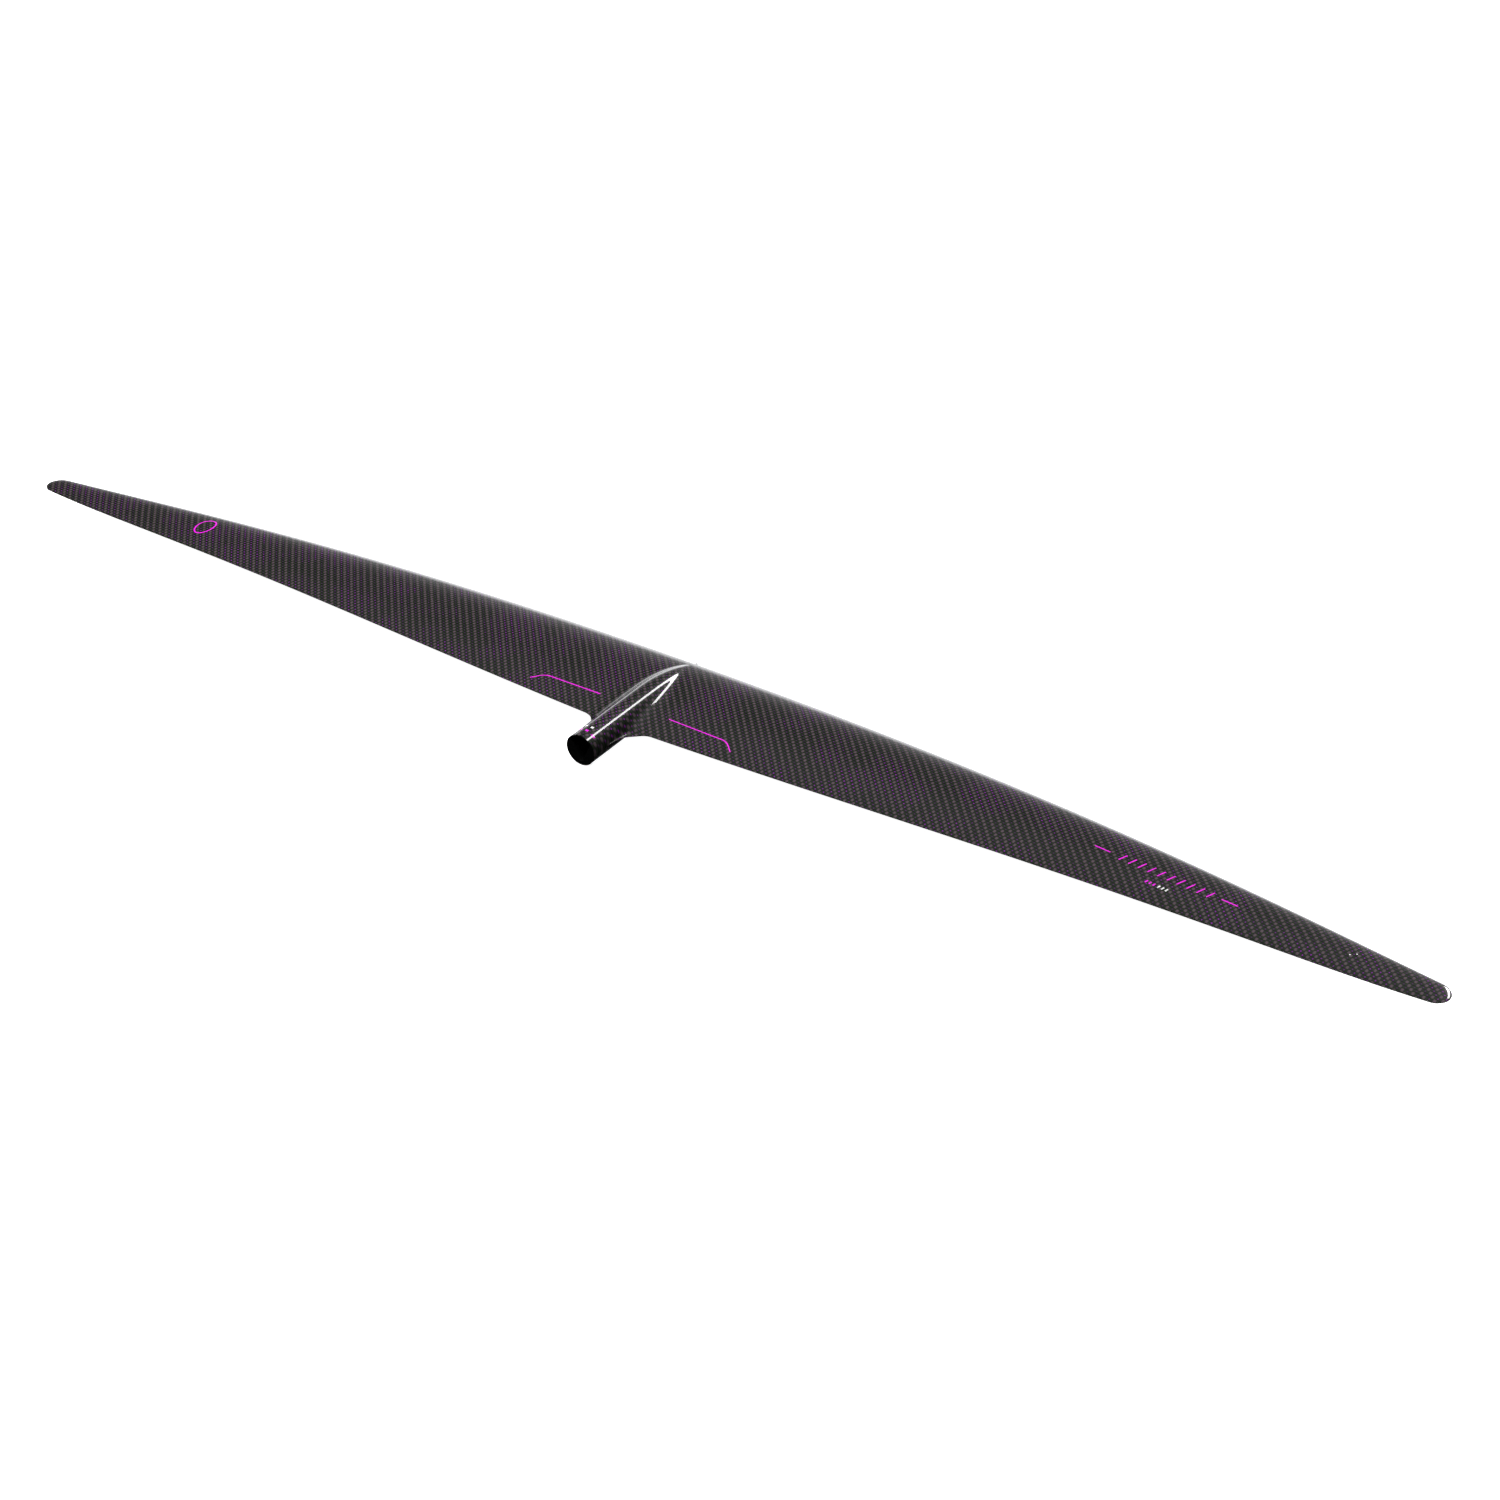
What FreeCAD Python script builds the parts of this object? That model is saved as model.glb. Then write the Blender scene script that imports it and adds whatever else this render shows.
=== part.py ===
import FreeCAD, Part
import math
import os

# Front wing of a hydrofoil, moulded in one piece with a rear-facing socket for the fuselage.
# Frame: the origin is the centre of the socket's mouth, on the tube's axis. +X runs along the
# span, +Y forward to the leading edge, +Z up. All values are in millimetres.

V = FreeCAD.Vector

# Wing planform and section
span = 1760.0              # tip to tip
root_chord = 143.2         # chord on the centre line
tip_sweep = 88.8           # how far the leading edge falls back at the tips
tip_rise = 9.6             # how far the tips stand above the root
tip_round = 14.0           # length of the rounded end of each tip
thickness_ratio = 0.11     # section thickness as a share of the chord
camber_ratio = 0.03        # section camber as a share of the chord
trailing_edge = 0.8        # thickness of the trailing edge
chord_loss = {1: 0.191, 2: 0.841, 4: -0.367, 8: 0.145}    # power of the span share: share of chord
sweep_share = {2: 0.805, 4: 0.310, 8: -0.115}
rise_share = {1: 0.08, 2: 0.31, 4: 0.61}

# Tube and pod
tube_d = 35.2              # outside of the tube
tube_reach = 62.0          # from the root trailing edge back to the mouth
nose_length = 90.5         # of the pod's nose
nose_gap = 2.7             # from the end of the nose to the root leading edge
nose_power = 2.3           # how full the nose is: a higher power keeps it thick for longer
chord_drop = 2.95          # of the root chord line below the tube's axis
corner_width = 25.4        # of the fillet between the tube and the trailing edge, seen from above
corner_length = 46.0       # of the same fillet along the tube
flank_aft = 25.0           # fillet between the pod and the wing, at the trailing edge
flank_fore = 14.0          # the same at the pod's nose

# Laminate, bond lines and inner structure
skin = 0.9                 # laminate of both skins
bond = 0.1                 # adhesive between two glued pieces
seam_round = 0.4           # softens the inner step where the two skins meet
nose_play = 0.6            # room round the fillers in the pod's nose, filled with adhesive
sleeve_play = 0.2          # adhesive between the sleeve and the skins
spar_front = 0.20          # chord shares between which the spar stands
spar_rear = 0.36
spar_cap = 1.6             # thickness of each cap
spar_web = 3.0             # thickness of the shear web
spar_end = 700.0           # from the centre line to the end of the spar
bead_width = 0.06          # chord share of the leading edge bead
wedge_width = 0.12         # chord share of the trailing edge wedge
least_gap = 0.5            # the inner pieces end where the cavity is thinner than this
hub_reach = 60.0           # from the centre line to the outer side of the hub blocks
tip_margin = 16.0          # from the end of a tip block to the end of the wing

# Socket
socket_past = 8.0          # how far the socket runs on past the start of the pod's nose
bore_r = 15.5              # of the round top of the bore
bore_corner = 37.0         # angle above the horizontal where the round top meets the flat sides
bore_taper = 24.1          # angle of each flat side from the vertical
bore_corner_r = 2.0
bore_keel_r = 3.4          # rounding where the flat sides meet, at the bottom
screw_first = 35.0         # from the mouth to the first screw
screw_pitch = 50.0
screw_hole_r = 3.2
screw_head_r = 6.2
bush_r = 7.5
bush_height = 8.0

half_span = span / 2
tube_r = tube_d / 2
sleeve_r = tube_r - skin - sleeve_play
root_front = tube_reach + root_chord
nose_end = root_front - nose_gap
tube_level = nose_end - nose_length
socket_depth = tube_level + socket_past


# ---- Outer shape ----

def law(shares, share):
    return sum(k * share ** power for power, k in shares.items())


def tip_factor(x):
    """Share of the chord that is left inside the rounded end of a tip."""
    inside = (abs(x) - (half_span - tip_round)) / tip_round
    return 1.0 if inside <= 0 else math.sqrt(max(0.0, 1 - inside ** 2))


def edges(x):
    """Leading and trailing edge at a station."""
    share = abs(x) / half_span
    lead = root_front - tip_sweep * law(sweep_share, share)
    chord = root_chord * (1 - law(chord_loss, share))
    cut = (1 - tip_factor(x)) * chord / 2
    return lead - cut, lead - chord + cut


def chord_share(x, y):
    lead, trail = edges(x)
    return min(1.0, max(0.0, (lead - y) / (lead - trail)))


def middle(x, y):
    """Camber line height."""
    lead, trail = edges(x)
    share = chord_share(x, y)
    rise = tip_rise * law(rise_share, abs(x) / half_span)
    return rise - chord_drop + 4 * camber_ratio * (lead - trail) * share * (1 - share)


def half_thick(x, y):
    lead, trail = edges(x)
    s = chord_share(x, y)
    form = 0.2969 * math.sqrt(s) - 0.1260 * s - 0.3516 * s ** 2 + 0.2843 * s ** 3 - 0.1036 * s ** 4
    return 5 * thickness_ratio * (lead - trail) * form + trailing_edge / 2 * s


corner_tail = edges(tube_r + corner_width)[1] - corner_length


def pod_radius(y):
    inside = min(1.0, max(0.0, (y - tube_level) / nose_length))
    return tube_r * (1 - inside ** nose_power)


def web_reach(y):
    """Half-width of the outline behind the trailing edge, where the corner fillets spread."""
    inside = min(1.0, max(0.0, (y - corner_tail) / corner_length))
    return tube_r + corner_width * (1 - math.sqrt(1 - inside ** 2))


def outline(x):
    """Rearmost point of the outline at a station."""
    out = abs(x) - tube_r
    if out <= 0:
        return 0.0
    if out >= corner_width:
        return edges(x)[1]
    return corner_tail + corner_length * math.sqrt(1 - (1 - out / corner_width) ** 2)


def web_share(y):
    """0 along the plain tube, 1 where the web behind the trailing edge has its full shape."""
    inside = min(1.0, max(0.0, (web_reach(y) - tube_r) / (corner_width / 2)))
    return inside * inside * (3 - 2 * inside)


def flank(y):
    root_trail = root_front - root_chord
    inside = min(1.0, max(0.0, (y - root_trail) / (nose_end - root_trail)))
    return flank_aft + (flank_fore - flank_aft) * inside


def blended(x, radius, fillet, level, reach):
    """Height of a round body of this radius in a sheet at this level, with a fillet between."""
    if radius <= level:
        return level
    widest = (reach ** 2 + level ** 2 - radius ** 2) / (2 * (radius - level))
    fillet = max(0.001, min(fillet, widest))
    foot = math.sqrt(max(0.0, (radius + fillet) ** 2 - (level + fillet) ** 2))
    joint = foot * radius / (radius + fillet)
    x = abs(x)
    if x >= foot:
        return level
    if x <= joint:
        return math.sqrt(radius ** 2 - x ** 2)
    return level + fillet - math.sqrt(fillet ** 2 - (foot - x) ** 2)


def soft_greater(a, b):
    """The greater of two values, with the change from one to the other rounded."""
    return (a + b + math.sqrt((a - b) ** 2 + seam_round ** 2)) / 2


def heights(x, y, side):
    """Outer and inner height of the upper (side 1) or lower (side -1) skin at a point."""
    if y < edges(x)[1]:
        share = web_share(y)
        centre = -chord_drop * share
        half = (bond + (trailing_edge - bond) * share) / 2
        full = trailing_edge / 2
    else:
        share = 1.0
        centre = middle(x, y)
        half = full = half_thick(x, y)
    level = side * centre + half
    inner_level = side * centre + bond / 2 + share * (soft_greater(full - skin, bond / 2) - bond / 2)
    reach = web_reach(y) if y < outline(hub_reach) else hub_reach
    radius = pod_radius(y)
    fillet = flank(y)
    outer = blended(x, radius, fillet, level, reach)
    inner = blended(x, radius - skin, fillet + skin, inner_level, reach - skin - share)
    return side * outer, side * inner


def wing_inside(x, y, side):
    """Height of the cavity's wall in the plain wing, less the bond line."""
    return middle(x, y) + side * (half_thick(x, y) - skin - bond)


# ---- Solids from sections across the span ----

def curve(points):
    line = Part.BSplineCurve()
    line.interpolate(points)
    return line.toShape()


def section(x, front, rear, top, bottom, count=14):
    """A closed section in the plane of one station, between two heights and two Y values."""
    steps = [math.sin(math.pi / 2 * i / count) for i in range(count + 1)]
    ys = [rear + (front - rear) * k for k in steps]
    upper = [V(x, y, top(x, y)) for y in ys]
    lower = [V(x, y, bottom(x, y)) for y in ys]
    rims = [Part.makeLine(upper[-1], lower[-1]), Part.makeLine(lower[0], upper[0])]
    return Part.Wire([curve(upper), rims[0], curve(lower[::-1]), rims[1]])


def span_loft(stations, front, rear, top, bottom, count=14):
    wires = [section(x, front(x), rear(x), top, bottom, count) for x in stations]
    return Part.makeLoft(wires, True, True)


def between(start, end, step):
    count = max(1, round((end - start) / step))
    return [start + (end - start) * i / count for i in range(count + 1)]


def mirrored(shape):
    return shape.mirror(V(0, 0, 0), V(1, 0, 0))


def both_ways(stations):
    return [-x for x in stations[::-1] if x > 0] + stations


# ---- Skins ----

def skin_stations():
    tube = [tube_r * math.sin(math.radians(a)) for a in (0, 12, 24, 36, 48, 58, 68, 76, 83, 88)]
    web = [tube_r + corner_width * (1 - math.cos(math.radians(a))) for a in (5, 16, 28, 40, 52, 65, 78)]
    root = tube_r + corner_width
    wing = between(root, half_span - tip_round, 32.0)
    tip = [half_span - tip_round * (1 - k) for k in (0.25, 0.5, 0.7, 0.85, 0.94, 0.975)]
    return both_ways(tube + web + wing + tip)


def skin_front(x):
    """The skins stop a hair behind the leading edge, where the section is this thick."""
    lead, trail = edges(x)
    half_edge = 0.25
    share = (half_edge / (5 * thickness_ratio * 0.2969 * (lead - trail))) ** 2
    return lead - share * (lead - trail)


def upper_skin():
    return span_loft(skin_stations(), skin_front, outline,
                     lambda x, y: heights(x, y, 1)[0], lambda x, y: heights(x, y, 1)[1], 34)


def lower_skin():
    shell = span_loft(skin_stations(), skin_front, outline,
                      lambda x, y: heights(x, y, -1)[1], lambda x, y: heights(x, y, -1)[0], 34)
    for y in screw_places():
        shell = shell.cut(bush_seat(y))
    return shell


# ---- Inner structure ----

def cavity_share(x, from_front):
    """Chord share at which the cavity first has room for an inner piece."""
    lead, trail = edges(x)
    step = 0.002
    share = 0.004 if from_front else 0.996
    while 2 * (half_thick(x, lead - share * (lead - trail)) - skin - bond) < least_gap:
        share += step if from_front else -step
    return share


def at_share(x, share):
    lead, trail = edges(x)
    return lead - share * (lead - trail)


def bead_rear(x):
    return cavity_share(x, True) + bead_width


def wedge_front(x):
    return cavity_share(x, False) - wedge_width


def cavity_top(x, y):
    return wing_inside(x, y, 1)


def cavity_bottom(x, y):
    return wing_inside(x, y, -1)


def web_top(x, y):
    return cavity_top(x, y) - spar_cap - bond


def web_bottom(x, y):
    return cavity_bottom(x, y) + spar_cap + bond


def strip(stations, front, rear, top=cavity_top, bottom=cavity_bottom):
    """An inner piece between two chord shares, glued on both sides."""
    return span_loft(stations, lambda x: at_share(x, front(x)) - bond / 2,
                     lambda x: at_share(x, rear(x)) + bond / 2, top, bottom)


def full_stations():
    return both_ways(between(0.0, spar_end, 50.0))


def side_stations(start=bond / 2, end=spar_end):
    return between(start, end, 50.0)


def web_shares(x):
    """Chord shares of the web's front and rear face."""
    lead, trail = edges(x)
    centre = (spar_front + spar_rear) / 2
    half = spar_web / 2 / (lead - trail)
    return centre - half, centre + half


def spar():
    stations = full_stations()
    front = lambda x: spar_front
    rear = lambda x: spar_rear
    web_front = lambda x: web_shares(x)[0]
    web_rear = lambda x: web_shares(x)[1]
    return {
        "upper_spar_cap": strip(stations, front, rear, cavity_top,
                                lambda x, y: cavity_top(x, y) - spar_cap),
        "lower_spar_cap": strip(stations, front, rear,
                                lambda x, y: cavity_bottom(x, y) + spar_cap, cavity_bottom),
        "shear_web": strip(stations, web_front, web_rear, web_top, web_bottom),
        "spar_core_front": strip(stations, front, web_front, web_top, web_bottom),
        "spar_core_rear": strip(stations, web_rear, rear, web_top, web_bottom),
    }


def right_panel():
    """The inner pieces of the right half wing; the left ones are their mirror images."""
    beside_hub = side_stations(hub_reach + bond)
    tip = between(spar_end + bond, half_span - tip_margin, 25.0)
    return {
        "leading_edge_bead": strip(side_stations(), lambda x: cavity_share(x, True), bead_rear),
        "front_core": strip(side_stations(), bead_rear, lambda x: spar_front),
        "rear_core": strip(beside_hub, lambda x: spar_rear, wedge_front),
        "trailing_edge_wedge": strip(beside_hub, wedge_front, lambda x: cavity_share(x, False)),
        "tip_block": strip(tip, lambda x: cavity_share(x, True), lambda x: cavity_share(x, False)),
        "hub_block": hub_block(),
    }


def hub_block():
    """Solid block between the socket sleeve and the rear core."""
    rear = at_share(hub_reach, cavity_share(hub_reach, False))
    return span_loft(between(sleeve_r + bond, hub_reach, 3.6),
                     lambda x: at_share(x, spar_rear) - bond / 2, lambda x: rear,
                     lambda x, y: heights(x, y, 1)[1] - bond, lambda x, y: heights(x, y, -1)[1] + bond)


def turned(rear, front, inset):
    """Body turned about the tube's axis, inside the pod by the inset."""
    ys = [rear + (front - rear) * math.sin(math.pi / 2 * i / 12) for i in range(13)]
    rim = [V(pod_radius(y) - inset, y, 0) for y in ys]
    profile = [Part.makeLine(V(0, rear, 0), rim[0]), curve(rim),
               Part.makeLine(rim[-1], V(0, front, 0)), Part.makeLine(V(0, front, 0), V(0, rear, 0))]
    return Part.Face(Part.Wire(profile)).revolve(V(0, 0, 0), V(0, 1, 0), 360)


def nose_front():
    """Where the turned nose body is down to the height of the wing's cavity."""
    y = nose_end
    while pod_radius(y) - skin - nose_play < cavity_top(0, y) + 2 * least_gap:
        y -= 0.5
    return y


def socket_end_block():
    return turned(socket_depth + bond, at_share(0, spar_rear) - bond, skin + 3 * bond)


def nose_filler(side):
    """Filler in the pod's nose, above (side 1) or below (side -1) the wing's spar."""
    rear = at_share(0, spar_rear)
    body = turned(rear, nose_front(), skin + nose_play)
    reach = tube_r * 1.2
    level = cavity_top if side > 0 else cavity_bottom
    far = side * 2 * tube_r
    room = span_loft(both_ways(between(0.0, reach, 5.0)), lambda x: root_front - 4 * bond - 8.0,
                     lambda x: rear - 2.0, lambda x, y: max(far, level(x, y) + side * bond),
                     lambda x, y: min(far, level(x, y) + side * bond))
    return body.common(room)


# ---- Socket ----

def bore_prism(start, end):
    """Rounded triangle: a round top that follows the tube, and two flat sides down to a keel."""
    corner = math.radians(bore_corner)
    wide = V(bore_r * math.cos(corner), start, bore_r * math.sin(corner))
    keel = V(0, start, wide.z - wide.x / math.tan(math.radians(bore_taper)))
    left = V(-wide.x, start, wide.z)
    face = Part.Face(Part.Wire([Part.Arc(wide, V(0, start, bore_r), left).toShape(),
                                Part.makeLine(left, keel), Part.makeLine(keel, wide)]))
    prism = face.extrude(V(0, end - start, 0))

    def along(point):
        return [e for e in prism.Edges if e.Length > end - start - 1
                and abs(e.Vertexes[0].Point.x - point.x) < 0.01
                and abs(e.Vertexes[0].Point.z - point.z) < 0.01]

    prism = prism.makeFillet(bore_keel_r, along(keel))
    return prism.makeFillet(bore_corner_r, along(wide) + along(left))


def screw_places():
    return [screw_first, screw_first + screw_pitch]


def bush_seat(y):
    """Hole in the sleeve and the lower skin that a bush is glued into."""
    return Part.makeCylinder(bush_r + bond, bush_height + bond, V(0, y, -tube_r - bond))


def socket_sleeve():
    body = Part.makeCylinder(sleeve_r, socket_depth, V(0, 0, 0), V(0, 1, 0))
    body = body.cut(bore_prism(-1.0, socket_depth + 1.0))
    for y in screw_places():
        body = body.cut(bush_seat(y))
    return body


def screw_bush(y):
    """Countersunk bush, shaped to the tube outside and to the bore inside."""
    body = Part.makeCylinder(bush_r, bush_height - bond, V(0, y, -tube_r))
    tube = Part.makeCylinder(tube_r, 4 * bush_r, V(0, y - 2 * bush_r, 0), V(0, 1, 0))
    depth = screw_head_r - screw_hole_r
    countersink = Part.makeCone(screw_head_r, screw_hole_r, depth, V(0, y, -tube_r))
    hole = Part.makeCylinder(screw_hole_r, 2 * bush_height, V(0, y, -tube_r - 1.0))
    bore = bore_prism(y - 2 * bush_r, y + 2 * bush_r)
    return body.common(tube).cut(bore).cut(countersink).cut(hole)


# ---- Files ----

def build():
    parts = {"upper_skin": upper_skin(), "lower_skin": lower_skin()}
    parts.update(spar())
    for name, shape in right_panel().items():
        parts[name + "_right"] = shape
        parts[name + "_left"] = mirrored(shape)
    parts["nose_filler_upper"] = nose_filler(1)
    parts["nose_filler_lower"] = nose_filler(-1)
    parts["socket_sleeve"] = socket_sleeve()
    parts["socket_end_block"] = socket_end_block()
    first, second = screw_places()
    parts["screw_bush_rear"] = screw_bush(first)
    parts["screw_bush_front"] = screw_bush(second)
    return parts


def main():
    os.makedirs("parts", exist_ok=True)
    for name, shape in build().items():
        print(name, shape.ShapeType, len(shape.Solids), shape.isValid(), round(shape.Volume), "mm3")
        shape.exportStep("parts/" + name + ".step")


main()
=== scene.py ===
import bpy
import math
from mathutils import Matrix, Vector


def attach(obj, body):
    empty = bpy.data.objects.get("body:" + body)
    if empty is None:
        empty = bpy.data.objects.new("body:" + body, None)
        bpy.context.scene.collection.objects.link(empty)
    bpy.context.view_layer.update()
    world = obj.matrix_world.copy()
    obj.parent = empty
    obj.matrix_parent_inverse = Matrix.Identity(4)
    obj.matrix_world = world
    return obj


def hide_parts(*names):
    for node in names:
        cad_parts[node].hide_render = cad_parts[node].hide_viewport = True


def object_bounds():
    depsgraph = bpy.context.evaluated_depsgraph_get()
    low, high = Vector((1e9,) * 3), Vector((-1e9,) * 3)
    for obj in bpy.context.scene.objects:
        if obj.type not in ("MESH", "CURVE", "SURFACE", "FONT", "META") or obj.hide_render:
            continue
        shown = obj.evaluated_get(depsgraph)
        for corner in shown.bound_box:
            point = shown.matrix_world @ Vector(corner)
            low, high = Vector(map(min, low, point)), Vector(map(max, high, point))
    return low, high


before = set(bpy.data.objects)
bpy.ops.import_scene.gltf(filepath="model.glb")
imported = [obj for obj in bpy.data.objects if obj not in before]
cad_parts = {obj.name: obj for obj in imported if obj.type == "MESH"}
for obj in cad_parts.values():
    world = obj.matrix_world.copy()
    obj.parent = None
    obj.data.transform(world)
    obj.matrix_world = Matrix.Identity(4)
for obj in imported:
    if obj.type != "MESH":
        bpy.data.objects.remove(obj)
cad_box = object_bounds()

# Front wing of a hydrofoil: one carbon moulding with a socket for the fuselage. The origin is
# the centre of the socket's mouth, +X runs along the span, +Y forward and +Z up, in metres.

bpy.ops.object.select_all(action="DESELECT")


# ---- Skins ----
# The wing is laid up in two mould halves that are glued along the leading edge, the trailing
# edge and the sides of the tube. Each half is one laminate of woven carbon: wing, pod and tube
# run into each other with no joint.

half_span = 0.880
root_chord = 0.1432
tube_reach = 0.062         # from the root trailing edge back to the mouth
root_front = tube_reach + root_chord
tip_sweep = 0.0888
tip_rise = 0.0096
tip_round = 0.014
thickness_ratio = 0.11
camber_ratio = 0.03
trailing_half = 0.0004     # half the thickness of the trailing edge
chord_loss = {1: 0.191, 2: 0.841, 4: -0.367, 8: 0.145}
sweep_share = {2: 0.805, 4: 0.310, 8: -0.115}
rise_share = {1: 0.08, 2: 0.31, 4: 0.61}

tube_r = 0.0176
tube_level = 0.112         # from the mouth to where the pod's nose begins
nose_length = 0.0905
nose_power = 2.3           # a higher power keeps the nose thick for longer
chord_drop = 0.00295
corner_width = 0.0254      # fillet between the tube and the trailing edge
corner_length = 0.046
flank_aft = 0.025          # fillet between the pod and the wing
flank_fore = 0.014
skin = 0.0009
seam_half = 0.00001        # keeps the two edges of a skin apart at the seam


def law(shares, share):
    return sum(k * share ** power for power, k in shares.items())


def edges(x):
    """Leading and trailing edge at a station, with the rounded tips."""
    share = abs(x) / half_span
    lead = root_front - tip_sweep * law(sweep_share, share)
    chord = root_chord * (1 - law(chord_loss, share))
    inside = max(0.0, (abs(x) - half_span + tip_round) / tip_round)
    cut = (1 - math.sqrt(max(0.0, 1 - inside ** 2))) * chord / 2
    return lead - cut, lead - chord + cut


def wing_section(x, y):
    """Camber line height and half the thickness."""
    lead, trail = edges(x)
    chord = lead - trail
    s = min(1.0, max(0.0, (lead - y) / chord))
    rise = tip_rise * law(rise_share, abs(x) / half_span)
    form = 0.2969 * math.sqrt(s) - 0.1260 * s - 0.3516 * s ** 2 + 0.2843 * s ** 3 - 0.1036 * s ** 4
    centre = rise - chord_drop + 4 * camber_ratio * chord * s * (1 - s)
    return centre, max(seam_half, 5 * thickness_ratio * chord * form + trailing_half * s)


corner_tail = edges(tube_r + corner_width)[1] - corner_length


def pod_radius(y):
    inside = min(1.0, max(0.0, (y - tube_level) / nose_length))
    return tube_r * (1 - inside ** nose_power)


def web_reach(y):
    inside = min(1.0, max(0.0, (y - corner_tail) / corner_length))
    return tube_r + corner_width * (1 - math.sqrt(1 - inside ** 2))


def flank(y):
    nose_end = tube_level + nose_length
    inside = min(1.0, max(0.0, (y - tube_reach) / (nose_end - tube_reach)))
    return flank_aft + (flank_fore - flank_aft) * inside


def blended(x, radius, fillet, level, reach):
    """Height of a round body standing in a sheet at this level, with a fillet between."""
    if radius <= level:
        return level
    widest = (reach ** 2 + level ** 2 - radius ** 2) / (2 * (radius - level))
    fillet = max(1e-6, min(fillet, widest))
    foot = math.sqrt(max(0.0, (radius + fillet) ** 2 - (level + fillet) ** 2))
    x = abs(x)
    if x >= foot:
        return level
    if x <= foot * radius / (radius + fillet):
        return math.sqrt(radius ** 2 - x ** 2)
    return level + fillet - math.sqrt(fillet ** 2 - (foot - x) ** 2)


def skin_heights(x, y, side):
    """Outer and inner height of the upper (side 1) or lower (side -1) skin at a point."""
    share = 1.0
    if y < edges(x)[1]:
        inside = min(1.0, max(0.0, (web_reach(y) - tube_r) / (corner_width / 2)))
        share = inside * inside * (3 - 2 * inside)
        centre = -chord_drop * share
        half = seam_half + (trailing_half - seam_half) * share
    else:
        centre, half = wing_section(x, y)
    level = side * centre + half
    inner_level = side * centre + max(0.0, half - skin)
    reach = web_reach(y) if y < edges(hub_reach)[1] else hub_reach
    radius = pod_radius(y)
    fillet = flank(y)
    outer = blended(x, radius, fillet, level, reach)
    inner = blended(x, radius - skin, fillet + skin, inner_level, reach - skin - 0.001 * share)
    return side * outer, side * min(inner, outer - seam_half)


hub_reach = 0.060          # from the centre line to where the plain wing begins
hub_columns = 52           # across half the hub
tube_rows = 10             # along the plain tube
corner_rows = 36           # round each corner between tube and trailing edge
side_rows = 10             # from the corner out to where the plain wing begins
chord_rows = 84            # from the trailing edge to the leading edge
turn_y = 0.105             # where the row that ends at the trailing edge crosses the middle


def row_ends():
    """Each row's outer end and the Y at which it crosses the centre line, from the mouth."""
    ends = []
    for i in range(tube_rows):
        y = corner_tail * i / tube_rows
        ends.append((tube_r, y, y))
    corner = []
    for i in range(corner_rows + 1):
        turn = math.pi / 2 * i / corner_rows
        x = tube_r + corner_width * (1 - math.cos(turn))
        corner.append((x, corner_tail + corner_length * math.sin(turn)))
    for i in range(1, side_rows + 1):
        x = tube_r + corner_width + (hub_reach - tube_r - corner_width) * i / side_rows
        corner.append((x, edges(x)[1]))
    lengths = [0.0]
    for a, b in zip(corner, corner[1:]):
        lengths.append(lengths[-1] + math.dist(a, b))
    for (x, y), length in zip(corner, lengths):
        ends.append((x, y, corner_tail + (turn_y - corner_tail) * length / lengths[-1]))
    lead, trail = edges(hub_reach)
    for i in range(1, chord_rows + 1):
        share = math.sin(math.pi / 2 * i / chord_rows)
        ends.append((hub_reach, trail + (lead - trail) * share, turn_y + (root_front - turn_y) * share))
    return ends


fine_steps = 240           # along a row while its points are being spaced


def hub_row(end_x, end_y, middle_y, side):
    """Points of one row from the centre line outwards, evenly spaced along the surface."""
    fine = []
    for i in range(fine_steps + 1):
        share = math.sin(math.pi / 2 * i / fine_steps)
        x = end_x * share
        y = min(middle_y + (end_y - middle_y) * share ** 2, edges(x)[0])
        fine.append((x, y, skin_heights(x, y, side)[0]))
    lengths = [0.0]
    for a, b in zip(fine, fine[1:]):
        lengths.append(lengths[-1] + math.dist(a, b))
    row = []
    at = 0
    for i in range(hub_columns + 1):
        target = lengths[-1] * i / hub_columns
        while at < fine_steps - 1 and lengths[at + 1] < target:
            at += 1
        step = lengths[at + 1] - lengths[at]
        k = (target - lengths[at]) / step if step > 0 else 0.0
        x = fine[at][0] + (fine[at + 1][0] - fine[at][0]) * k
        y = fine[at][1] + (fine[at + 1][1] - fine[at][1]) * k
        row.append((x, y))
    row[-1] = (end_x, end_y)
    return row


wing_step = 0.008          # between two sections along the span
tip_turns = (*range(8, 88, 8), 87)    # degrees round the end of a tip where sections stand


def wing_stations():
    """Distances from the centre line at which the plain wing has a section."""
    plain = half_span - tip_round - hub_reach
    count = round(plain / wing_step)
    stations = [hub_reach + plain * i / count for i in range(1, count + 1)]
    for a in tip_turns:
        stations.append(half_span - tip_round * (1 - math.sin(math.radians(a))))
    return stations


smooth_below = math.radians(35)    # angle between faces up to which a skin is shaded smooth


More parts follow.
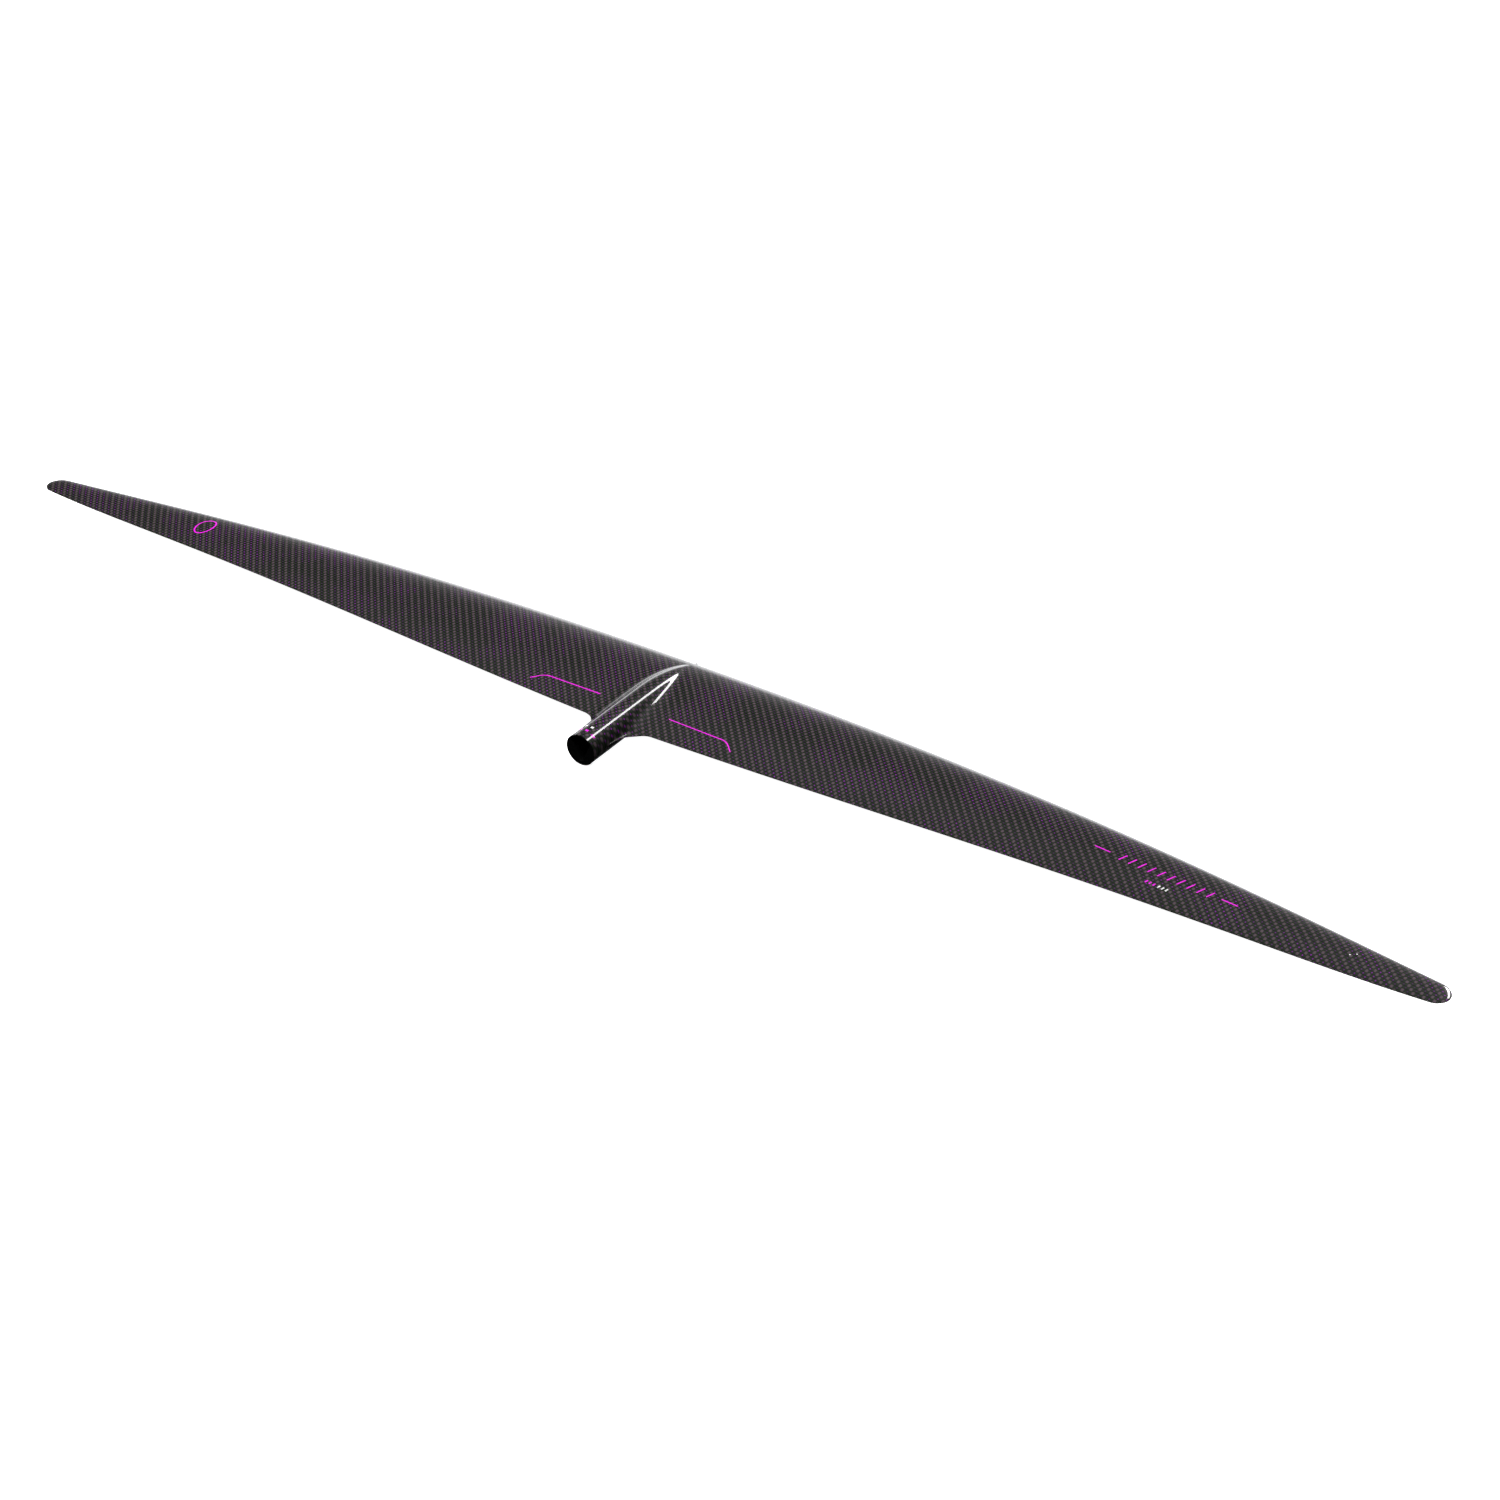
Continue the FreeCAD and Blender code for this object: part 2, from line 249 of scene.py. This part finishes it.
def build_skin(name, side):
    """One closed shell: outer face, inner face and the rim between them."""
    rows = [hub_row(*end, side) for end in row_ends()]
    rows = [[(-x, y) for x, y in row[:0:-1]] + row for row in rows]
    points = [p for row in rows for p in row]
    width = 2 * hub_columns + 1
    faces = []
    for r in range(len(rows) - 1):
        for c in range(width - 1):
            a = r * width + c
            faces.append((a, a + 1, a + width + 1, a + width))
    first = len(rows) - 1 - chord_rows
    lead, trail = edges(hub_reach)
    shares = [(rows[r][-1][1] - trail) / (lead - trail) for r in range(first, len(rows))]
    for way in (1, -1):
        column = width - 1 if way > 0 else 0
        last = [r * width + column for r in range(first, len(rows))]
        for x in wing_stations():
            lead, trail = edges(x)
            new = list(range(len(points), len(points) + len(shares)))
            points += [(way * x, trail + (lead - trail) * share) for share in shares]
            for a, b, c, d in zip(last, new, new[1:], last[1:]):
                faces.append((a, b, c, d) if way > 0 else (b, a, d, c))
            last = new
    count = len(points)
    outer = []
    inner = []
    for x, y in points:
        high, low = skin_heights(x, y, side)
        outer.append((x, y, high))
        inner.append((x, y, low))
    sides = {(a, b): True for face in faces for a, b in zip(face, face[1:] + face[:1])}
    rim = [(b, a, a + count, b + count) for a, b in sides if (b, a) not in sides]
    back = [tuple(i + count for i in reversed(face)) for face in faces]
    everything = faces + back + rim
    if side < 0:
        everything = [tuple(reversed(face)) for face in everything]
    mesh = bpy.data.meshes.new(name)
    mesh.from_pydata(outer + inner, [], everything)
    mesh.validate()
    piece = bpy.data.objects.new(name, mesh)
    bpy.context.collection.objects.link(piece)
    bpy.ops.object.select_all(action="DESELECT")
    piece.select_set(True)
    bpy.context.view_layer.objects.active = piece
    bpy.ops.object.shade_smooth_by_angle(angle=smooth_below)
    return piece


class Value:
    """A socket in a shader, so that sums on it are written as Python expressions."""

    def __init__(self, tree, socket):
        self.tree = tree
        self.socket = socket

    def sum(self, operation, other, swap=False):
        pair = [other, self] if swap else [self, other]
        return self.tree.node("ShaderNodeMath", {"operation": operation}, pair)

    def __add__(self, other):
        return self.sum("ADD", other)

    def __radd__(self, other):
        return self.sum("ADD", other)

    def __sub__(self, other):
        return self.sum("SUBTRACT", other)

    def __rsub__(self, other):
        return self.sum("SUBTRACT", other, True)

    def __mul__(self, other):
        return self.sum("MULTIPLY", other)

    def __rmul__(self, other):
        return self.sum("MULTIPLY", other)

    def __truediv__(self, other):
        return self.sum("DIVIDE", other)

    def floor(self):
        return self.tree.node("ShaderNodeMath", {"operation": "FLOOR"}, [self])

    def size(self):
        return self.tree.node("ShaderNodeMath", {"operation": "ABSOLUTE"}, [self])

    def wrap(self, length):
        return self.tree.node("ShaderNodeMath", {"operation": "FLOORED_MODULO"}, [self, length])

    def step(self, low, high):
        """0 below low, 1 above high, smooth between."""
        found = {"Value": self, "From Min": low, "From Max": high}
        return self.tree.node("ShaderNodeMapRange", {"interpolation_type": "SMOOTHSTEP"}, found)

    def part(self, name):
        """Another output of the same node."""
        return Value(self.tree, self.socket.node.outputs[name])


class Tree:
    """A node tree and the one way nodes are added to it."""

    def __init__(self, tree):
        self.nodes = tree.nodes
        self.links = tree.links

    def node(self, kind, settings, inputs):
        made = self.nodes.new(kind)
        for key, value in settings.items():
            setattr(made, key, value)
        pairs = inputs.items() if isinstance(inputs, dict) else enumerate(inputs)
        for key, value in pairs:
            self.put(made.inputs[key], value)
        return Value(self, made.outputs[0])

    def put(self, socket, value):
        if isinstance(value, Value):
            self.links.new(value.socket, socket)
        else:
            socket.default_value = value


class Finish(Tree):
    """A material."""

    def __init__(self, name):
        self.material = bpy.data.materials.new(name)
        self.material.use_nodes = True
        super().__init__(self.material.node_tree)
        self.shader = self.nodes["Principled BSDF"]

    def mix(self, factor, a, b):
        return self.node("ShaderNodeMix", {"data_type": "RGBA"}, {0: factor, 6: a, 7: b}).part(2)

    def place(self):
        """Object coordinates."""
        return self.node("ShaderNodeTexCoord", {}, {}).part("Object")

    def noise(self, where, scale, detail=2.0):
        return self.node("ShaderNodeTexNoise", {}, {"Vector": where, "Scale": scale, "Detail": detail})

    def stretched(self, where, x, y, z):
        """Coordinates drawn out, for a texture that runs along one axis."""
        return self.node("ShaderNodeVectorMath", {"operation": "MULTIPLY"}, [where, (x, y, z)])

    def bump(self, height, distance, strength):
        """Relief of this depth in metres."""
        found = {"Height": height, "Distance": distance, "Strength": strength}
        self.put(self.shader.inputs["Normal"], self.node("ShaderNodeBump", {}, found))

    def set(self, **values):
        """Inputs of the shader by name, with an underscore for each space."""
        for key, value in values.items():
            self.put(self.shader.inputs[key.replace("_", " ")], value)


pitch_x = 0.0033           # of the tows that run fore and aft
pitch_y = 0.0037           # of the tows that run along the span
weave_relief = 0.00006     # from the crown of a tow to its edge
# The grey and the pale tow colours are painted sheen: the grey on the crown of a span tow, the pale one
# along the middle of a tow across.
tow_dark = (0.002, 0.004, 0.002, 1)
tow_grey = (0.011, 0.018, 0.009, 1)
cross_tow_sheen = (0.070, 0.059, 0.051, 1)
tracer = (0.34, 0.012, 0.48, 1)


def carbon_twill():
    """Twill: dark tows along the span with a purple tracer thread, lighter tows over every third; their
    lighter tone and the lighter crowns of the span tows are painted sheen.
    """
    f = Finish("carbon_twill")
    where = f.place()
    x = f.node("ShaderNodeSeparateXYZ", {}, [where])
    u = x / pitch_x
    v = x.part("Y") / pitch_y

    # A span tow lies on top at two of three crossings, one crossing further on in each row.
    repeat = (u.floor() + v.floor()).wrap(3)
    over = 1 - repeat.step(1.4, 1.6)
    along = (u - u.floor()) + repeat - 1
    across = (v - v.floor() - 0.5).size()
    down = (u - u.floor() - 0.5).size()

    # Each span tow has a painted sheen along its crown and goes dark towards its edges, and shows its
    # tracer thread along the crown in places.
    mottle = f.noise(where, 22.0)
    lit_crown = 1 - across.step(0.18, 0.48)
    span_tow = f.mix(lit_crown, tow_dark, tow_grey)
    thread = (1 - along.size().step(0.04, 0.28)) * (1 - across.step(0.08, 0.32))
    thread = thread * (0.15 + 0.60 * mottle.step(0.40, 0.65))
    span_tow = f.mix(thread, span_tow, tracer)

    # The tows across them are painted paler, most along their middle, as a sheen of light, with a tinge
    # of the tracer in the middle of a crossing.
    cross_tow = f.mix(1 - down.step(0.18, 0.50), tow_grey, cross_tow_sheen)
    tinge = (1 - across.step(0.0, 0.4)) * 0.08
    cross_tow = f.mix(tinge, cross_tow, tracer)
    f.set(Base_Color=f.mix(over, cross_tow, span_tow))
    f.set(Roughness=0.45, Specular_IOR_Level=0.1, Coat_Weight=1.0, Coat_Roughness=0.03)
    height = over * lit_crown + (1 - over) * (1 - down.step(0.20, 0.50))
    f.bump(height, weave_relief, 0.5)
    return f.material


screw_y = (0.035, 0.085)   # from the mouth
bush_seat_r = 0.0076
cutter_depth = 0.012


def cut_seat(piece, y):
    """Round hole through the underside of the tube, for a screw bush."""
    bpy.ops.object.select_all(action="DESELECT")
    bpy.ops.mesh.primitive_cylinder_add(vertices=96, radius=bush_seat_r, depth=cutter_depth,
                                        location=(0, y, -tube_r))
    cutter = bpy.context.object
    cut = piece.modifiers.new("seat", "BOOLEAN")
    cut.operation = "DIFFERENCE"
    cut.object = cutter
    bpy.context.view_layer.objects.active = piece
    bpy.ops.object.modifier_apply(modifier=cut.name)
    bpy.data.objects.remove(cutter)


twill = carbon_twill()
for name, side in (("upper_skin", 1), ("lower_skin", -1)):
    piece = build_skin(name + "_laminate", side)
    if side < 0:
        for y in screw_y:
            cut_seat(piece, y)
    piece.data.materials.append(twill)
    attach(piece, "root")
    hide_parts(name)


# ---- Printed marks ----
# Thin printed marks under the gloss of the upper skin: a trim line beside the pod on each wing,
# a plain ring on the left wing, a row of slanted bars on the right wing with a smaller row
# behind it, and a few dashes on top of the tube at its mouth. None of them is a letter.

ink_top = 0.00006          # above the laminate
ink_bottom = 0.00004       # below its surface
ink_step = 0.0015          # between two sections of a line

print_magenta = (0.95, 0.012, 0.85, 1)
print_white = (0.92, 0.92, 0.92, 1)


def ink(name, colour):
    """Screen-printed ink under clear coat: slightly uneven in density, a little rough."""
    f = Finish(name)
    where = f.place()
    density = f.noise(where, 900.0).step(0.25, 0.60)
    thin = tuple(0.72 * k for k in colour[:3]) + (1,)
    f.set(Base_Color=f.mix(density, thin, colour))
    f.set(Roughness=0.50 - 0.12 * density, Specular_IOR_Level=0.3)
    f.set(Coat_Weight=1.0, Coat_Roughness=0.04)
    return f.material


magenta_ink = ink("ink_magenta", print_magenta)
white_ink = ink("ink_white", print_white)


def turned_corner(before, corner, after, reach):
    """Points that replace a sharp corner by a curve this far along both sides."""
    ends = []
    for other in (before, after):
        k = reach / math.dist(corner, other)
        ends.append([c + (o - c) * k for c, o in zip(corner, other)])
    points = []
    for i in range(9):
        t = i / 8
        shares = ((1 - t) ** 2, 2 * t * (1 - t), t * t)
        pull = list(zip(shares, (ends[0], corner, ends[1])))
        points.append(tuple(sum(k * p[n] for k, p in pull) for n in (0, 1)))
    return points


def resampled(path, step):
    """The same path with points at most this far apart."""
    points = []
    for a, b in zip(path, path[1:]):
        count = max(1, math.ceil(math.dist(a, b) / step))
        points += [tuple(p + (q - p) * i / count for p, q in zip(a, b)) for i in range(count)]
    return points + [path[-1]]


def draped(name, paths, wide, material, ring=False):
    """Flat closed strips that lie on the upper skin along these paths."""
    verts = []
    faces = []
    for path in paths:
        points = resampled(path, ink_step)
        if ring:
            points = points[:-1]
        first = len(verts)
        last = len(points) - 1
        for i, (x, y) in enumerate(points):
            before = points[i - 1] if i or ring else points[0]
            after = points[(i + 1) % len(points)] if i < last or ring else points[last]
            run = math.dist(before, after)
            aside = ((before[1] - after[1]) / run * wide / 2, (after[0] - before[0]) / run * wide / 2)
            for way in (-1, 1):
                sx = x + way * aside[0]
                sy = y + way * aside[1]
                top = skin_heights(sx, sy, 1)[0]
                verts += [(sx, sy, top + ink_top), (sx, sy, top - ink_bottom)]
        for i in range(last + 1 if ring else last):
            a = first + 4 * i
            b = first + 4 * ((i + 1) % (last + 1))
            faces += [(a, b, b + 2, a + 2), (a + 3, b + 3, b + 1, a + 1)]
            faces += [(a + 1, b + 1, b, a), (a + 2, b + 2, b + 3, a + 3)]
        if not ring:
            end = first + 4 * last
            faces += [(first, first + 2, first + 3, first + 1), (end, end + 1, end + 3, end + 2)]
    mesh = bpy.data.meshes.new(name)
    mesh.from_pydata(verts, [], faces)
    mesh.validate()
    mark = bpy.data.objects.new(name, mesh)
    bpy.context.collection.objects.link(mark)
    mark.data.materials.append(material)
    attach(mark, "root")


trim_wide = 0.0011
trim_corner = 0.007        # rounding of the corner, along both sides
for word, way in (("right", 1), ("left", -1)):
    inner = (way * 0.0444, 0.0928)
    corner = (way * 0.1165, 0.0922)
    outer = (way * 0.1287, 0.0809)
    line = [inner] + turned_corner(inner, corner, outer, trim_corner) + [outer]
    draped("trim_line_" + word, [line], trim_wide, magenta_ink)

ring_centre = (-0.6455, 0.1260)
ring_radii = (0.0100, 0.0150)
ring_wide = 0.0016
ring_path = []
for i in range(49):
    turn = math.tau * i / 48
    x = ring_centre[0] + ring_radii[0] * math.cos(turn)
    ring_path.append((x, ring_centre[1] + ring_radii[1] * math.sin(turn)))
draped("emblem_ring", [ring_path], ring_wide, magenta_ink, ring=True)

# The bars stand in a row that falls back towards the tip, between two dashes along it.
row_start = (0.514, 0.1345)
row_fall = 0.0825          # back for each unit outwards
bar_first = 0.545
bar_pitch = 0.0105
bars = [[row_start, (0.531, 0.1331)], [(0.651, 0.1232), (0.668, 0.1218)]]
for i in range(10):
    x = bar_first + bar_pitch * i
    y = row_start[1] - row_fall * (x - row_start[0])
    bars.append([(x - 0.0022, y - 0.0048), (x + 0.0022, y + 0.0048)])
draped("name_bars", bars, 0.0013, magenta_ink)

small_pitch = 0.0042
for word, first_x, material in (("magenta", 0.5795, magenta_ink), ("white", 0.5930, white_ink)):
    row = []
    for i in range(3):
        x = first_x + small_pitch * i
        y = 0.1165 - 0.1 * (x - 0.536)
        row.append([(x - 0.0007, y - 0.0017), (x + 0.0007, y + 0.0017)])
    draped("size_bars_" + word, row, 0.0015, material)


def dashes(name, places, half_long, wide, material):
    """Short dashes along the span, one at each place."""
    paths = [[(x - half_long, y), (x + half_long, y)] for x, y in places]
    draped(name, paths, wide, material)


mouth_magenta = ((-0.0080, 0.0127), (0.0003, 0.0116), (0.0094, 0.0096))
mouth_white = ((-0.0062, 0.0200), (0.0016, 0.0190))
batch_places = ((0.7824, 0.1107), (0.7875, 0.1145))
dashes("mouth_marks_magenta", mouth_magenta, 0.0018, 0.0026, magenta_ink)
dashes("mouth_marks_white", mouth_white, 0.0016, 0.0028, white_ink)
dashes("batch_marks", batch_places, 0.0006, 0.0013, white_ink)


# ---- Socket, bushes and inner structure ----
# The sleeve, its screw bushes and everything between the skins keep their CAD shapes. Each gets
# a finish of its own: satin carbon, turned steel, closed-cell foam or filled resin.

def solid_carbon():
    """Dense carbon with fine fibres along the span, machined to a satin surface."""
    f = Finish("solid_carbon")
    where = f.place()
    fibres = f.noise(f.stretched(where, 60, 1400, 1400), 1.0, 4.0)
    patches = f.noise(where, 60.0)
    dark = (0.0065, 0.0072, 0.0070, 1)
    f.set(Base_Color=f.mix(fibres.step(0.35, 0.70), dark, (0.0190, 0.0200, 0.0196, 1)))
    f.set(Roughness=0.34 + 0.16 * patches, Specular_IOR_Level=0.35)
    f.bump(fibres, 0.00002, 0.4)
    return f.material


def turned_steel():
    """Stainless steel with the fine rings of turning and a little staining."""
    f = Finish("stainless_steel")
    where = f.place()
    rings = f.noise(f.stretched(where, 300, 300, 5200), 1.0, 3.0)
    stain = f.noise(where, 180.0)
    f.set(Base_Color=f.mix(stain.step(0.35, 0.75), (0.56, 0.56, 0.57, 1), (0.40, 0.39, 0.37, 1)))
    f.set(Metallic=1.0, Roughness=0.24 + 0.16 * rings)
    f.bump(rings, 0.00001, 0.5)
    return f.material


def foam():
    """Closed-cell foam: small round cells, cut through at the surface."""
    f = Finish("foam_core")
    where = f.place()
    cells = f.node("ShaderNodeTexVoronoi", {}, {"Vector": where, "Scale": 1400.0})
    shade = cells.step(0.05, 0.55)
    f.set(Base_Color=f.mix(shade, (0.50, 0.40, 0.24, 1), (0.74, 0.66, 0.46, 1)))
    f.set(Roughness=0.92)
    f.bump(shade, 0.00015, 0.6)
    return f.material


def filled_resin():
    """Epoxy thickened with fibre and microspheres: mottled grey with pale specks."""
    f = Finish("filled_resin")
    where = f.place()
    mottle = f.noise(where, 240.0, 4.0)
    specks = f.noise(where, 2600.0).step(0.62, 0.72)
    ground = f.mix(mottle.step(0.3, 0.7), (0.050, 0.048, 0.046, 1), (0.095, 0.090, 0.085, 1))
    f.set(Base_Color=f.mix(specks, ground, (0.24, 0.23, 0.21, 1)))
    f.set(Roughness=0.55 + 0.25 * mottle)
    f.bump(mottle, 0.00005, 0.5)
    return f.material


finishes = {
    solid_carbon(): ("socket_sleeve", "upper_spar_cap", "lower_spar_cap", "shear_web",
                     "leading_edge_bead_left", "leading_edge_bead_right"),
    turned_steel(): ("screw_bush_rear", "screw_bush_front"),
    foam(): ("spar_core_front", "spar_core_rear", "front_core_left", "front_core_right",
             "rear_core_left", "rear_core_right"),
    filled_resin(): ("trailing_edge_wedge_left", "trailing_edge_wedge_right", "tip_block_left",
                     "tip_block_right", "hub_block_left", "hub_block_right", "nose_filler_upper",
                     "nose_filler_lower", "socket_end_block"),
}
for material, names in finishes.items():
    for name in names:
        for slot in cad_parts[name].material_slots:
            slot.material = material


# ---- Floor, light and camera ----
# A plain white floor under the wing, a long narrow strip light ahead of it, two large soft lights
# above, and a dark studio that is pale ahead on the left. The floor and the soft lights don't
# show in the gloss of the wing, as if black cards stood in the way.

floor_gap = 0.0002         # between the wing and the floor
floor_size = 60
floor_z = cad_box[0][2] - floor_gap
bpy.ops.mesh.primitive_plane_add(size=floor_size, location=(0, 0, floor_z))
floor = bpy.context.object
floor.name = "floor"
paper = Finish("floor_paper")
paper.set(Base_Color=(0.86, 0.86, 0.86, 1), Roughness=0.9)
paper.set(Emission_Color=(1, 1, 1, 1), Emission_Strength=1.0)
floor.data.materials.append(paper.material)
floor.visible_glossy = False
floor.visible_diffuse = False


wing_middle = Vector((0, 0.1, 0))


def soft_light(name, place, wide, high, power, along=(0, 0, 1)):
    """Rectangular light aimed at the wing, its long side turned to lie along a direction."""
    light = bpy.data.lights.new(name, "AREA")
    light.shape = "RECTANGLE"
    light.size = wide
    light.size_y = high
    light.energy = power
    lamp = bpy.data.objects.new(name, light)
    bpy.context.collection.objects.link(lamp)
    back = (Vector(place) - wing_middle).normalized()
    side = Vector(along).cross(back).normalized()
    turn = Matrix((side, back.cross(side), back)).transposed()
    lamp.matrix_world = Matrix.Translation(place) @ turn.to_4x4()
    return lamp


soft_light("strip", (1.26, 7.20, 4.50), 1.35, 5.95, 460, along=(0.635, -1.084, 1.538))
key = soft_light("key", (-1.9, 0.7, 3.5), 2.0, 2.0, 175)
fill = soft_light("fill", (0.4, -0.6, 4.0), 2.4, 2.4, 60)
for lamp in (key, fill):
    lamp.visible_glossy = False

world = bpy.data.worlds.new("studio")
bpy.context.scene.world = world
world.use_nodes = True
world.cycles_visibility.diffuse = False
sky = Tree(world.node_tree)
right = sky.node("ShaderNodeSeparateXYZ", {}, [sky.node("ShaderNodeTexCoord", {}, {})])
ahead = right.part("Y")
up = right.part("Z")
pale_side = up.step(-0.75, -0.60) * ahead.step(0.0, 0.3) * (1 - right.step(-0.25, 0.25))
glow = pale_side * (1 - up.step(0.01, 0.20)) * 1.5
wash = pale_side * (1 - up.step(0.05, 0.50)) * 0.55
dome = up.step(0.60, 0.80) * 0.22
sky.put(sky.nodes["Background"].inputs["Color"], (0.97, 0.98, 1.0, 1))
sky.put(sky.nodes["Background"].inputs["Strength"], glow + wash + dome + 0.01)

camera_data = bpy.data.cameras.new("camera")
camera_data.lens = 60.24
camera_data.sensor_width = 36.0
camera_data.clip_end = 100
camera = bpy.data.objects.new("camera", camera_data)
bpy.context.collection.objects.link(camera)
camera.location = (1.33489, -1.66726, 1.39516)
away = Vector((0.46848, -0.69288, 0.54812))
camera.rotation_euler = away.to_track_quat("Z", "Y").to_euler()
bpy.context.scene.camera = camera
bpy.context.scene.view_settings.view_transform = "Standard"
